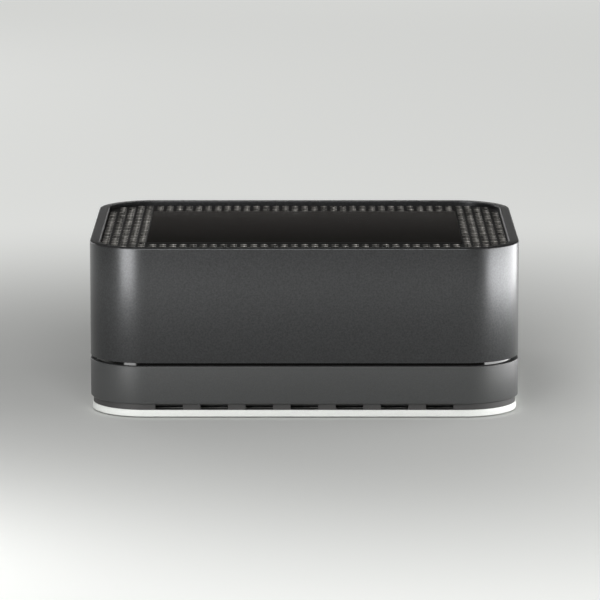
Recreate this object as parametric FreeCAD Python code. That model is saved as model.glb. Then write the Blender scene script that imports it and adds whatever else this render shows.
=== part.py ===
import FreeCAD, Part
import math
import os

os.makedirs("parts", exist_ok=True)
V = FreeCAD.Vector

# Network music streamer for a shelf or sideboard, in millimetres.
# +X runs to the right seen from the front, +Y to the back, +Z up.
# The origin is the middle of the underside, on the surface it stands on.

# Outline of the case in plan
WIDTH = 220.0
DEPTH = 166.0
CORNER_R = 29.0

# Heights of the stacked rings, from the ground up
FOOT_PROUD = 0.6
BASE_T = 3.45
SKIRT_H = 3.1
BAND_H = 19.6
GAP_H = 1.7
HOUSING_H = 59.05

# How far each ring stands back from the widest outline
BASE_INSET = 0.85
SKIRT_INSET = 1.3

# Walls
BAND_WALL = 2.5
SKIRT_WALL = 3.9
TRIM_WALL = 2.4
HOUSING_WALL = 2.5
RIM_W = 5.3
LEDGE_W = 3.3
LEDGE_T = 2.2
BASE_CHAMFER = 0.3
BAND_CHAMFER = 0.5
TOP_CHAMFER = 0.5
SEAT_GAP = 0.1
TRIM_LAP = 3.5

# Air slots in the skirt
SLOT_W = 14.0
SLOT_SILL = 0.3
SLOT_H = 2.65
SLOT_THROAT = 1.0
SLOT_PITCH = 23.0
SLOTS_FRONT = 7
SLOTS_SIDE = 5

# Perforated grille and the touch glass in it
GRILLE_RECESS = 2.15
GRILLE_T = 1.5
GLASS_W = 162.6
GLASS_D = 106.4
GLASS_R = 1.5
GLASS_T = 1.3
GLASS_CHAMFER = 0.25
GLASS_PROUD = 0.6
GLASS_FIT = 0.15
HOLE_W = 3.7
HOLE_PITCH = 6.9
SIDE_COLUMNS = 3
HOLE_EDGE = 1.0
SENSOR_W = 148.0
SENSOR_D = 92.0
SENSOR_T = 1.6
WINDOW_MARGIN = 1.0

# Rubber pads and the screws hidden above them
PAD_W = 24.0
PAD_D = 10.0
PAD_SHIFT = 7.0
PAD_POCKET = 1.0
PAD_FIT = 0.15
POST_W = 8.0
POST_REACH = 17.8
SCREW_HEAD_R = 3.2
SCREW_HEAD_T = 1.2
SCREW_R = 1.5
SCREW_LEN = 14.0
SCREW_FIT = 0.1

# Folded chassis that carries the boards
SHEET_T = 1.2
DECK_SIDE = 20.0
DECK_END = 21.0
DECK_Z = 33.0
FOOT_FLANGE = 11.0
VENT_W = 60.0
VENT_D = 5.0
VENT_PITCH = 13.0
VENT_ROWS = 6

# Boards
BOARD_T = 1.6
STANDOFF_H = 6.2
STANDOFF_R = 3.1
MAIN_LEN = 102.0
MAIN_BACK_GAP = 1.9
MAIN_SIDE = 7.0
POWER_SIDE = 2.0
POWER_FRONT = 6.0
POWER_BACK = 8.0
BOARD_GAP = 2.5
BOARD_EDGE = 5.0
STUD_R = 1.4
NUT_HEAD_R = 2.9
NUT_HEAD_T = 1.8
STUD_DEPTH = 4.0

# Rear connector bay
BAY_SIDE = 35.0
BAY_Z0 = 36.5
BAY_H = 30.0
BAY_DEPTH = 9.5
BAY_R = 4.0
PANEL_T = 1.6
BAY_WALL = 1.6
BAY_FLANGE = 2.4
FLANGE_T = 1.2
SOCKET_FIT = 0.15
SOCKET_PROUD = 0.6

# Mains inlet, two round pins
INLET_Z = 51.0
INLET_W = 21.0
INLET_H = 12.5
INLET_LEN = 17.0
INLET_LIP = 2.2
INLET_LIP_T = 1.5
RECESS_W = 16.0
RECESS_H = 8.4
RECESS_LEN = 13.0
PIN_R = 1.2
PIN_PITCH = 8.6
PIN_LEN = 10.0
PIN_TAIL = 5.0
TAIL_W = 1.6
TAIL_T = 0.8
PIN_FIT = 0.03

# Setup button, pushed in towards the front
BUTTON_Z = 49.0
BUTTON_R = 2.5
BUTTON_FIT = 0.06
BUTTON_PROUD = 1.2
BUTTON_COLLAR_W = 7.0
BUTTON_TAIL_W = 3.0
BUTTON_COLLAR_T = 1.2
BUTTON_REST = 0.3
BUTTON_TAIL = 4.0
BUTTON_TRAVEL = 0.8
SWITCH_GAP = 0.2
SWITCH_W = 6.2
SWITCH_T = 3.6
SWITCH_POST_T = 1.2

# Wired network socket
LAN_W = 16.2
LAN_H = 13.4
LAN_LEN = 21.2
LAN_HOLE_W = 11.9
LAN_HOLE_H = 7.0
LAN_LATCH_W = 6.3
LAN_LATCH_H = 2.2
LAN_HOLE_LEN = 12.8
LAN_FLOOR = 2.4
CONTACTS = 8
CONTACT_PITCH = 1.02
CONTACT_W = 0.5
CONTACT_T = 0.45
CONTACT_LEN = 8.0

# USB socket
USB_W = 13.2
USB_H = 5.8
USB_LEN = 14.0
USB_WALL = 0.4
USB_BLOCK = 3.4
USB_TONGUE_W = 10.8
USB_TONGUE_T = 1.9
USB_TONGUE_LEN = 9.0

# Optical socket with its sprung door
OPT_W = 13.0
OPT_H = 13.0
OPT_LEN = 16.0
OPT_HOLE = 9.6
OPT_FLOOR = 1.6
OPT_HOLE_LEN = 13.0
DOOR_T = 0.9
DOOR_FIT = 0.3
DOOR_BACK = 1.0
DOOR_STUB_R = 0.5
DOOR_STUB_FIT = 0.05
DOOR_STUB_LEN = 1.0
DOOR_BARREL_R = 1.0

# 3.5 mm line input
JACK_W = 9.0
JACK_H = 9.0
JACK_LEN = 14.0
JACK_NOSE_R = 3.0
JACK_NOSE = 1.4
JACK_BORE_R = 1.8
JACK_BORE_LEN = 14.0
JACK_FIT = 0.15

# Pair of phono sockets
PHONO_PITCH = 14.0
PHONO_Z = 52.0
PHONO_BLOCK_W = 27.0
PHONO_BLOCK_H = 17.0
PHONO_BLOCK_LEN = 10.0
SLEEVE_R = 4.15
SLEEVE_WALL = 0.55
SLEEVE_LEN = 9.0
SLEEVE_NECK = 0.3
CORE_BORE_R = 1.6
CORE_BACK = 1.0

# Parts on the boards
SOC_BACK = 64.0
SOC_W = 19.0
SOC_T = 1.4
SINK_W = 36.0
SINK_D = 32.0
SINK_BASE = 2.4
SINK_H = 15.0
FIN_T = 1.2
FIN_COUNT = 8
RADIO_SIDE = 16.0
RADIO_BACK = 76.0
RADIO_W = 22.0
RADIO_D = 18.0
RADIO_T = 2.4
AERIAL_SIDE = 16.0
AERIAL_FRONT = 2.0
AERIAL_W = 34.0
AERIAL_H = 11.0
AERIAL_T = 0.8
CORE_END = 32.0
CORE_W = 30.0
CORE_D = 25.0
CORE_H = 24.0
CORE_LEG = 5.0
COIL_D = 34.0
CAN_R = 6.5
CAN_H = 22.0
CAN_FRONT = 22.0
CAN_PITCH = 17.0
CAN_COUNT = 2
FLEX_W = 12.0
FLEX_T = 0.3
FLEX_FRONT = 8.0
FLEX_SIDE = 18.0
FLEX_RUN = 9.0
PLUG_W = 15.0
PLUG_D = 5.0
PLUG_H = 3.0


def outline(w, d, r, z):
    """Closed wire of a rounded rectangle centred on the Z axis."""
    a = w / 2.0
    b = d / 2.0
    k = r * math.sqrt(0.5)
    edges = []
    corners = [(1, 1), (-1, 1), (-1, -1), (1, -1)]
    last = V(a, -(b - r), z)
    for sx, sy in corners:
        cx = sx * (a - r)
        cy = sy * (b - r)
        on_side = V(sx * a, cy, z)
        on_end = V(cx, sy * b, z)
        start, stop = (on_side, on_end) if sx * sy > 0 else (on_end, on_side)
        middle = V(cx + sx * k, cy + sy * k, z)
        edges.append(Part.LineSegment(last, start).toShape())
        edges.append(Part.Arc(start, middle, stop).toShape())
        last = stop
    return Part.Wire(edges)


def plate(w, d, r, z0, z1):
    """Rounded rectangular slab between two heights."""
    face = Part.Face(outline(w, d, r, z0))
    return face.extrude(V(0, 0, z1 - z0))


def slab(inset, z0, z1):
    """Slab that follows the case outline, drawn in by inset."""
    return plate(WIDTH - 2 * inset, DEPTH - 2 * inset, CORNER_R - inset, z0, z1)


def ring(outer, inner, z0, z1):
    """Wall that follows the case outline between two insets."""
    return slab(outer, z0, z1).cut(slab(inner, z0 - 1, z1 + 1))


def box(x0, x1, y0, y1, z0, z1):
    """Block from its six limits."""
    return Part.makeBox(x1 - x0, y1 - y0, z1 - z0, V(x0, y0, z0))


def prism(sides, r, x, y, z0, z1):
    """Upright prism with flats, across corners 2r."""
    points = []
    for i in range(sides + 1):
        a = 2 * math.pi * (i % sides + 0.5) / sides
        points.append(V(x + r * math.cos(a), y + r * math.sin(a), z0))
    face = Part.Face(Part.makePolygon(points))
    return face.extrude(V(0, 0, z1 - z0))


def rod(r, x, z, y0, y1):
    """Round bar along the depth."""
    return Part.makeCylinder(r, y1 - y0, V(x, y0, z), V(0, 1, 0))


def lying_prism(sides, r, x, z, y0, y1):
    """Prism with flats along the depth, across corners 2r."""
    bar = prism(sides, r, 0, 0, 0, y1 - y0)
    bar.rotate(V(0, 0, 0), V(1, 0, 0), -90)
    bar.translate(V(x, y0, z))
    return bar


def upright(w, h, r, z, y0, y1):
    """Rounded rectangular block that lies along the depth, centred on the case."""
    block = plate(w, h, r, 0, y1 - y0)
    block.rotate(V(0, 0, 0), V(1, 0, 0), 90)
    block.translate(V(0, y1, z))
    return block


def edges_at(shape, z):
    """Edges of a solid that lie in one level plane."""
    found = []
    for edge in shape.Edges:
        limits = edge.BoundBox
        if abs(limits.ZMin - z) < 1e-6 and abs(limits.ZMax - z) < 1e-6:
            found.append(edge)
    return found


def mirrored(points):
    """Four places, one in each quarter of the plan."""
    x, y = points
    return [(x, y), (-x, y), (-x, -y), (x, -y)]


def save(name, shapes):
    """One file for each piece, or for each set of equal pieces."""
    if not isinstance(shapes, list):
        shapes = [shapes]
    shape = shapes[0] if len(shapes) == 1 else Part.makeCompound(shapes)
    if len(shapes) == 1 and len(shape.Solids) == 1:
        shape = shape.Solids[0]
    for solid in shape.Solids:
        assert solid.isValid(), name
    shape.exportStep("parts/" + name + ".step")
    print(name, len(shape.Solids), round(shape.Volume, 1))


# Levels, each from the one below
BASE_Z0 = FOOT_PROUD
BASE_Z1 = BASE_Z0 + BASE_T
SKIRT_Z1 = BASE_Z1 + SKIRT_H
BAND_Z1 = SKIRT_Z1 + BAND_H
HOUSING_Z0 = BAND_Z1 + GAP_H
TOP_Z = HOUSING_Z0 + HOUSING_H
GRILLE_Z1 = TOP_Z - GRILLE_RECESS
GRILLE_Z0 = GRILLE_Z1 - GRILLE_T
LEDGE_Z0 = GRILLE_Z0 - LEDGE_T
GLASS_Z1 = GRILLE_Z1 + GLASS_PROUD
GLASS_Z0 = GLASS_Z1 - GLASS_T
BACK = DEPTH / 2.0
INNER_BACK = BACK - HOUSING_WALL
PANEL_Y1 = BACK - BAY_DEPTH
PANEL_Y0 = PANEL_Y1 - PANEL_T
BAY_MID = BAY_Z0 + BAY_H / 2.0
DECK_TOP = DECK_Z + SHEET_T
BOARD_Z0 = DECK_TOP + STANDOFF_H
BOARD_Z1 = BOARD_Z0 + BOARD_T
SOCKET_Y1 = PANEL_Y1 + SOCKET_PROUD

# The deck and the bay keep their distance from the case's sides and ends
DECK_W = WIDTH - 2 * DECK_SIDE
DECK_D = DEPTH - 2 * DECK_END
BAY_W = WIDTH - 2 * BAY_SIDE

# Sockets stand in one row along the bay, with equal gaps between them
ROW = [INLET_W + 2 * INLET_LIP, BUTTON_COLLAR_W, LAN_W, USB_W, OPT_W, JACK_W, PHONO_BLOCK_W]
ROW_GAP = (BAY_W - sum(ROW)) / (len(ROW) + 1)
centres = []
cursor = -BAY_W / 2.0
for width in ROW:
    centres.append(cursor + ROW_GAP + width / 2.0)
    cursor += ROW_GAP + width
INLET_X, BUTTON_X, LAN_X, USB_X, OPT_X, JACK_X, PHONO_X = centres

# Boards: the main one behind the sockets, the power one in the space beside it
MAIN_X0 = BUTTON_X - MAIN_SIDE
MAIN_X1 = PHONO_X + PHONO_BLOCK_W / 2.0 + MAIN_SIDE
MAIN_Y1 = PANEL_Y0 - MAIN_BACK_GAP
MAIN_Y0 = MAIN_Y1 - MAIN_LEN
POWER_X0 = -DECK_W / 2.0 + POWER_SIDE
POWER_X1 = MAIN_X0 - BOARD_GAP
POWER_Y0 = -DECK_D / 2.0 + POWER_FRONT
POWER_Y1 = DECK_D / 2.0 - POWER_BACK
SOC_X = (MAIN_X0 + MAIN_X1) / 2.0
SOC_Y = MAIN_Y1 - SOC_BACK
RADIO_X = MAIN_X1 - RADIO_SIDE
RADIO_Y = MAIN_Y1 - RADIO_BACK
CORE_X = (POWER_X0 + POWER_X1) / 2.0
CORE_Y = POWER_Y1 - CORE_END
CAN_X = CORE_X
CAN_Y = POWER_Y0 + CAN_FRONT
FLEX_X = MAIN_X0 + FLEX_SIDE
FLEX_Y = MAIN_Y0 + FLEX_FRONT

# The four corner posts stand on the diagonals of the rounded corners
POST_X = WIDTH / 2.0 - CORNER_R + POST_REACH * math.sqrt(0.5)
POST_Y = DEPTH / 2.0 - CORNER_R + POST_REACH * math.sqrt(0.5)
PAD_PLACES = mirrored((POST_X - PAD_SHIFT, POST_Y))
POSTS = mirrored((POST_X, POST_Y))

# White base plate: pockets for the pads, and above them the screw heads' recesses
base = slab(BASE_INSET, BASE_Z0, BASE_Z1)
base = base.makeChamfer(BASE_CHAMFER, edges_at(base, BASE_Z0))
pad_top = BASE_Z0 + PAD_POCKET
head_top = pad_top + SCREW_HEAD_T + SCREW_FIT
for x, y in PAD_PLACES:
    a = PAD_W / 2.0 + PAD_FIT
    b = PAD_D / 2.0 + PAD_FIT
    base = base.cut(box(x - a, x + a, y - b, y + b, BASE_Z0 - 1, pad_top))
for x, y in POSTS:
    base = base.cut(prism(6, SCREW_HEAD_R + 2 * SCREW_FIT, x, y, pad_top - 0.5, head_top))
    base = base.cut(prism(6, SCREW_R + SCREW_FIT, x, y, head_top - 0.5, BASE_Z1 + 1))
save("base_plate", base)

# Rubber pads let into the underside
pads = []
for x, y in PAD_PLACES:
    a = PAD_W / 2.0
    b = PAD_D / 2.0
    pads.append(box(x - a, x + a, y - b, y + b, 0.0, pad_top))
save("rubber_pads", pads)

# Case screws, up through the base into the corner posts
screws = []
for x, y in POSTS:
    head = prism(6, SCREW_HEAD_R, x, y, head_top - SCREW_HEAD_T, head_top)
    shank = prism(6, SCREW_R, x, y, head_top - 0.2, head_top + SCREW_LEN)
    screws.append(head.fuse(shank).removeSplitter())
save("case_screws", screws)

# Vent skirt: a ring under the band with louvred air slots. The roof of each slot falls
# inwards from a tall mouth to a low throat, over a thin sill
def louvre(along, reach):
    """Cutter for one slot through a wall that faces -Y at the given reach."""
    sill = BASE_Z1 + SLOT_SILL
    inner = SKIRT_WALL - reach
    points = [(-reach - 1, sill), (-reach - 1, sill + SLOT_H), (-reach, sill + SLOT_H),
              (inner, sill + SLOT_THROAT), (inner + 1, sill + SLOT_THROAT), (inner + 1, sill)]
    corners = [V(along - SLOT_W / 2.0, y, z) for y, z in points + points[:1]]
    return Part.Face(Part.makePolygon(corners)).extrude(V(SLOT_W, 0, 0))


skirt = ring(SKIRT_INSET, SKIRT_INSET + SKIRT_WALL, BASE_Z1, SKIRT_Z1)
front_reach = DEPTH / 2.0 - SKIRT_INSET
side_reach = WIDTH / 2.0 - SKIRT_INSET
slots = [(0, (i - (SLOTS_FRONT - 1) / 2.0) * SLOT_PITCH, front_reach) for i in range(SLOTS_FRONT)]
slots += [(90, (i - (SLOTS_SIDE - 1) / 2.0) * SLOT_PITCH, side_reach) for i in range(SLOTS_SIDE)]
for turn, along, reach in slots:
    for wall_turn in (turn, turn + 180):
        cutter = louvre(along, reach)
        cutter.rotate(V(0, 0, 0), V(0, 0, 1), wall_turn)
        skirt = skirt.cut(cutter)
save("vent_skirt", skirt)

# Lower band, an open ring with a chamfered lower edge
band = slab(0.0, SKIRT_Z1, BAND_Z1)
band = band.makeChamfer(BAND_CHAMFER, edges_at(band, SKIRT_Z1))
band = band.cut(slab(BAND_WALL, SKIRT_Z1 - 1, BAND_Z1 + 1))
save("lower_band", band)

# Gloss trim sleeve: stands on the skirt inside the band, laps into the housing,
# and is the floor of the shadow gap between the two
trim_out = max(BAND_WALL, HOUSING_WALL) + SEAT_GAP
save("trim_ring", ring(trim_out, trim_out + TRIM_WALL, SKIRT_Z1, HOUSING_Z0 + TRIM_LAP))

# Upper housing: tall moulded shell, open below, with a rim, a ledge and four posts
housing = slab(0.0, HOUSING_Z0, TOP_Z).cut(slab(RIM_W, GRILLE_Z0, TOP_Z + 1))
housing = housing.makeChamfer(TOP_CHAMFER, edges_at(housing, TOP_Z))
housing = housing.cut(slab(RIM_W + LEDGE_W, LEDGE_Z0 - 1, GRILLE_Z0 + 0.5))
housing = housing.cut(slab(HOUSING_WALL, HOUSING_Z0 - 1, LEDGE_Z0))
for x, y in POSTS:
    a = POST_W / 2.0
    post = box(x - a, x + a, y - a, y + a, BASE_Z1 + SHEET_T, GRILLE_Z0)
    bore = prism(6, SCREW_R + SCREW_FIT / 2.0, x, y, BASE_Z1, head_top + SCREW_LEN + 1)
    housing = housing.fuse(post.cut(bore))
housing = housing.cut(upright(BAY_W, BAY_H, BAY_R, BAY_MID, INNER_BACK - 1, BACK + 1)).removeSplitter()
save("upper_housing", housing)

# Grille: one holed sheet, with columns down both sides and strips in front and behind
inner_w = WIDTH / 2.0 - RIM_W
inner_d = DEPTH / 2.0 - RIM_W
inner_r = CORNER_R - RIM_W
side_mid = (GLASS_W / 2.0 + inner_w) / 2.0
half = HOLE_W / 2.0
reach = half + HOLE_EDGE


def inside_rim(x, y):
    """True where a hole keeps its margin to the rim, round corners included."""
    ax = abs(x)
    ay = abs(y)
    if ax + reach > inner_w or ay + reach > inner_d:
        return False
    dx = ax - (inner_w - inner_r)
    dy = ay - (inner_d - inner_r)
    if dx > 0 and dy > 0:
        return math.hypot(dx, dy) + reach < inner_r
    return True


columns = []
for i in range(SIDE_COLUMNS):
    columns.append(side_mid + (i - (SIDE_COLUMNS - 1) / 2.0) * HOLE_PITCH)
rows = int(inner_d / HOLE_PITCH)
strip_cols = int((columns[0] - HOLE_PITCH) / HOLE_PITCH)
places = []
for j in range(-rows, rows + 1):
    y = j * HOLE_PITCH
    for c in columns:
        places.append((c, y))
        places.append((-c, y))
    if abs(y) - half > GLASS_D / 2.0 + HOLE_EDGE:
        for i in range(-strip_cols, strip_cols + 1):
            places.append((i * HOLE_PITCH, y))
places = [p for p in places if inside_rim(p[0], p[1])]
grille_gap = RIM_W + SEAT_GAP
wires = []
wires.append(outline(WIDTH - 2 * grille_gap, DEPTH - 2 * grille_gap, CORNER_R - grille_gap, GRILLE_Z0))
for x, y in places:
    corners = [(x - half, y - half), (x - half, y + half), (x + half, y + half), (x + half, y - half)]
    points = [V(px, py, GRILLE_Z0) for px, py in corners]
    wires.append(Part.makePolygon(points + [points[0]]))
sheet = Part.Face(wires)
grille = sheet.extrude(V(0, 0, GRILLE_T))
tray_w = GLASS_W + 2 * GLASS_FIT
tray_d = GLASS_D + 2 * GLASS_FIT
grille = grille.cut(plate(tray_w, tray_d, GLASS_R + GLASS_FIT, GLASS_Z0, GRILLE_Z1 + 1))
window_w = SENSOR_W + 2 * WINDOW_MARGIN
window_d = SENSOR_D + 2 * WINDOW_MARGIN
grille = grille.cut(box(-window_w / 2, window_w / 2, -window_d / 2, window_d / 2, GRILLE_Z0 - 1, GLASS_Z0 + 0.2))
save("top_grille", grille)
print("holes", len(places))

# Touch glass and the sensor board bonded under it
glass = plate(GLASS_W, GLASS_D, GLASS_R, GLASS_Z0, GLASS_Z1)
save("touch_glass", glass.makeChamfer(GLASS_CHAMFER, edges_at(glass, GLASS_Z1)))
SENSOR_Z0 = GLASS_Z0 - SENSOR_T
save("sensor_board", box(-SENSOR_W / 2, SENSOR_W / 2, -SENSOR_D / 2, SENSOR_D / 2, SENSOR_Z0, GLASS_Z0))

# Folded chassis: one bent profile drawn along the depth, with air slots in its deck
# and lugs that the corner posts clamp on the base
x1 = DECK_W / 2.0
x2 = x1 + FOOT_FLANGE
low = BASE_Z1
profile = [(-x2, low), (-x1 + SHEET_T, low), (-x1 + SHEET_T, DECK_Z), (x1 - SHEET_T, DECK_Z)]
profile += [(x1 - SHEET_T, low), (x2, low), (x2, low + SHEET_T), (x1, low + SHEET_T)]
profile += [(x1, DECK_TOP), (-x1, DECK_TOP), (-x1, low + SHEET_T), (-x2, low + SHEET_T)]
points = [V(px, -DECK_D / 2.0, pz) for px, pz in profile]
chassis = Part.Face(Part.makePolygon(points + [points[0]])).extrude(V(0, DECK_D, 0))
a = POST_W / 2.0
for x, y in POSTS:
    root = math.copysign(DECK_D / 2.0 - 2.0, y)
    tip = y + math.copysign(a, y)
    chassis = chassis.fuse(box(x - a, x + a, min(root, tip), max(root, tip), low, low + SHEET_T))
chassis = chassis.removeSplitter()
for i in range(VENT_ROWS):
    y = (i - (VENT_ROWS - 1) / 2.0) * VENT_PITCH
    mid = (MAIN_X0 + MAIN_X1) / 2.0
    vent = box(mid - VENT_W / 2, mid + VENT_W / 2, y - VENT_D / 2, y + VENT_D / 2, DECK_Z - 1, DECK_TOP + 1)
    chassis = chassis.cut(vent)
for x, y in POSTS:
    chassis = chassis.cut(prism(6, SCREW_R + SCREW_FIT, x, y, BASE_Z1 - 1, BASE_Z1 + SHEET_T + 1))
save("chassis", chassis)


def board_corners(x0, x1, y0, y1):
    """Fixing points near the four corners of a board, all over the deck."""
    back = min(y1, DECK_D / 2.0) - BOARD_EDGE
    front = y0 + BOARD_EDGE
    left = x0 + BOARD_EDGE
    right = x1 - BOARD_EDGE
    return [(left, front), (right, front), (right, back), (left, back)]


MAIN_HOLES = board_corners(MAIN_X0, MAIN_X1, MAIN_Y0, MAIN_Y1)
POWER_HOLES = board_corners(POWER_X0, POWER_X1, POWER_Y0, POWER_Y1)


def board(x0, x1, y0, y1, holes):
    """Circuit board with its fixing holes."""
    blank = box(x0, x1, y0, y1, BOARD_Z0, BOARD_Z1)
    for x, y in holes:
        blank = blank.cut(prism(6, STUD_R + SCREW_FIT, x, y, BOARD_Z0 - 1, BOARD_Z1 + 1))
    return blank


save("main_board", board(MAIN_X0, MAIN_X1, MAIN_Y0, MAIN_Y1, MAIN_HOLES))
save("power_board", board(POWER_X0, POWER_X1, POWER_Y0, POWER_Y1, POWER_HOLES))

# One-piece clips under the power board, each with a stud through it
clips = []
for x, y in POWER_HOLES:
    clip = prism(6, STANDOFF_R, x, y, DECK_TOP, BOARD_Z0)
    stud = prism(6, STUD_R, x, y, BOARD_Z0 - 0.2, BOARD_Z1 + NUT_HEAD_T)
    clips.append(clip.fuse(stud).removeSplitter())
save("board_clips", clips)

# Six-sided spacers under the main board and the screws that hold it on them
spacers = []
board_screws = []
for x, y in MAIN_HOLES:
    spacer = prism(6, STANDOFF_R, x, y, DECK_TOP, BOARD_Z0)
    spacer = spacer.cut(prism(6, STUD_R + SCREW_FIT / 2, x, y, BOARD_Z0 - STUD_DEPTH - 0.5, BOARD_Z0 + 1))
    spacers.append(spacer)
    head = prism(6, NUT_HEAD_R, x, y, BOARD_Z1, BOARD_Z1 + NUT_HEAD_T)
    shank = prism(6, STUD_R, x, y, BOARD_Z0 - STUD_DEPTH, BOARD_Z1 + 0.2)
    board_screws.append(head.fuse(shank).removeSplitter())
save("board_spacers", spacers)
save("board_screws", board_screws)

# Processor and its finned heat sink
a = SOC_W / 2.0
soc_top = BOARD_Z1 + SOC_T
save("processor", box(SOC_X - a, SOC_X + a, SOC_Y - a, SOC_Y + a, BOARD_Z1, soc_top))
fin_gap = (SINK_W - FIN_T) / (FIN_COUNT - 1)
comb = [(0.0, 0.0), (SINK_W, 0.0)]
for i in reversed(range(FIN_COUNT)):
    u = i * fin_gap
    comb += [(u + FIN_T, SINK_H), (u, SINK_H)]
    if i > 0:
        comb += [(u, SINK_BASE), (u - fin_gap + FIN_T, SINK_BASE)]
points = [V(SOC_X - SINK_W / 2 + px, SOC_Y - SINK_D / 2, soc_top + pz) for px, pz in comb]
save("heat_sink", Part.Face(Part.makePolygon(points + [points[0]])).extrude(V(0, SINK_D, 0)))

# Shielded radio module and the two aerial strips on the deck
a = RADIO_W / 2.0
b = RADIO_D / 2.0
save("radio_module", box(RADIO_X - a, RADIO_X + a, RADIO_Y - b, RADIO_Y + b, BOARD_Z1, BOARD_Z1 + RADIO_T))
aerials = []
for side in (-1, 1):
    x = side * (DECK_W / 2.0 - AERIAL_SIDE)
    y = -DECK_D / 2.0 + AERIAL_FRONT
    aerials.append(box(x - AERIAL_W / 2, x + AERIAL_W / 2, y, y + AERIAL_T, DECK_TOP, DECK_TOP + AERIAL_H))
save("aerial_strips", aerials)

# Transformer: closed core with a winding through its window
a = CORE_W / 2.0
b = CORE_D / 2.0
core = box(CORE_X - a, CORE_X + a, CORE_Y - b, CORE_Y + b, BOARD_Z1, BOARD_Z1 + CORE_H)
w = a - CORE_LEG
core = core.cut(box(CORE_X - w, CORE_X + w, CORE_Y - b - 1, CORE_Y + b + 1,
                    BOARD_Z1 + CORE_LEG, BOARD_Z1 + CORE_H - CORE_LEG))
save("transformer_core", core)
g = SEAT_GAP
save("transformer_coil", box(CORE_X - w + g, CORE_X + w - g, CORE_Y - COIL_D / 2, CORE_Y + COIL_D / 2,
                             BOARD_Z1 + CORE_LEG, BOARD_Z1 + CORE_H - CORE_LEG - g))

# Smoothing capacitors
cans = []
for i in range(CAN_COUNT):
    x = CAN_X + (i - (CAN_COUNT - 1) / 2.0) * CAN_PITCH
    cans.append(prism(12, CAN_R, x, CAN_Y, BOARD_Z1, BOARD_Z1 + CAN_H))
save("capacitors", cans)

# Ribbon from the sensor board down to its plug on the main board
plug_top = BOARD_Z1 + PLUG_H
save("ribbon_plug", box(FLEX_X - PLUG_W / 2, FLEX_X + PLUG_W / 2, FLEX_Y - PLUG_D / 2, FLEX_Y + PLUG_D / 2,
                        BOARD_Z1, plug_top))
a = FLEX_W / 2.0
fall = box(FLEX_X - a, FLEX_X + a, FLEX_Y, FLEX_Y + FLEX_T, plug_top, SENSOR_Z0)
lap = box(FLEX_X - a, FLEX_X + a, FLEX_Y, FLEX_Y + FLEX_RUN, SENSOR_Z0 - FLEX_T, SENSOR_Z0)
save("sensor_ribbon", fall.fuse(lap).removeSplitter())

# Bay frame: moulded surround let into the back wall, with a flange inside the wall


def bay(grow, y0, y1):
    """The bay's rounded opening, wider by grow on every side."""
    return upright(BAY_W + 2 * grow, BAY_H + 2 * grow, BAY_R + grow, BAY_MID, y0, y1)


frame = bay(BAY_WALL, PANEL_Y1, INNER_BACK)
frame = frame.fuse(bay(BAY_WALL + BAY_FLANGE, INNER_BACK - FLANGE_T, INNER_BACK))
save("bay_frame", frame.cut(bay(0.0, PANEL_Y1 - 1, BACK + 1)).removeSplitter())

# Rear panel: flat plate at the bottom of the bay, with a cut-out for each socket
panel = bay(BAY_WALL, PANEL_Y0, PANEL_Y1)


def window(x, z, w, h):
    """Cut-out in the panel for a square-sided socket."""
    a = w / 2.0 + SOCKET_FIT
    b = h / 2.0 + SOCKET_FIT
    return box(x - a, x + a, PANEL_Y0 - 1, PANEL_Y1 + 1, z - b, z + b)


def port(x, z, r):
    """Round cut-out in the panel, with the flats just outside the circle."""
    return lying_prism(16, r / math.cos(math.pi / 16), x, z, PANEL_Y0 - 1, PANEL_Y1 + 1)


JACK_Z = BOARD_Z1 + JACK_H / 2.0
OPT_Z = BOARD_Z1 + OPT_H / 2.0
PHONO_XS = [PHONO_X - PHONO_PITCH / 2.0, PHONO_X + PHONO_PITCH / 2.0]
panel = panel.cut(window(INLET_X, INLET_Z, INLET_W, INLET_H))
panel = panel.cut(window(LAN_X, BOARD_Z1 + LAN_H / 2.0, LAN_W, LAN_H))
panel = panel.cut(window(USB_X, BOARD_Z1 + USB_H / 2.0, USB_W, USB_H))
panel = panel.cut(window(OPT_X, OPT_Z, OPT_W, OPT_H))
panel = panel.cut(port(BUTTON_X, BUTTON_Z, BUTTON_R + BUTTON_FIT))
panel = panel.cut(port(JACK_X, JACK_Z, JACK_NOSE_R + JACK_FIT))
for x in PHONO_XS:
    panel = panel.cut(port(x, PHONO_Z, SLEEVE_R - SLEEVE_NECK + SEAT_GAP))
save("rear_panel", panel)

# Mains inlet: lipped body with a rounded recess round two pins
a = INLET_W / 2.0
b = INLET_H / 2.0
mouth = PANEL_Y1 + INLET_LIP_T
inlet = box(INLET_X - a, INLET_X + a, mouth - INLET_LEN, mouth, INLET_Z - b, INLET_Z + b)
inlet = inlet.fuse(box(INLET_X - a - INLET_LIP, INLET_X + a + INLET_LIP, PANEL_Y1, mouth,
                       INLET_Z - b - INLET_LIP, INLET_Z + b + INLET_LIP))
r = RECESS_H / 2.0
e = RECESS_W / 2.0 - r
recess = box(INLET_X - e, INLET_X + e, mouth - RECESS_LEN, mouth + 1, INLET_Z - r, INLET_Z + r)
for side in (-1, 1):
    recess = recess.fuse(rod(r, INLET_X + side * e, INLET_Z, mouth - RECESS_LEN, mouth + 1))
inlet = inlet.cut(recess.removeSplitter())
pins = []
for side in (-1, 1):
    x = INLET_X + side * PIN_PITCH / 2.0
    floor = mouth - RECESS_LEN
    u = TAIL_T / 2.0
    v = TAIL_W / 2.0
    f = PIN_FIT
    inlet = inlet.cut(box(x - u - f, x + u + f, mouth - INLET_LEN - 1, floor + 1, INLET_Z - v - f, INLET_Z + v + f))
    tail = box(x - u, x + u, mouth - INLET_LEN - PIN_TAIL, floor + 0.5, INLET_Z - v, INLET_Z + v)
    pins.append(rod(PIN_R, x, INLET_Z, floor, floor + PIN_LEN).fuse(tail).removeSplitter())
save("mains_inlet", inlet.removeSplitter())
save("inlet_pins", pins)

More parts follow.
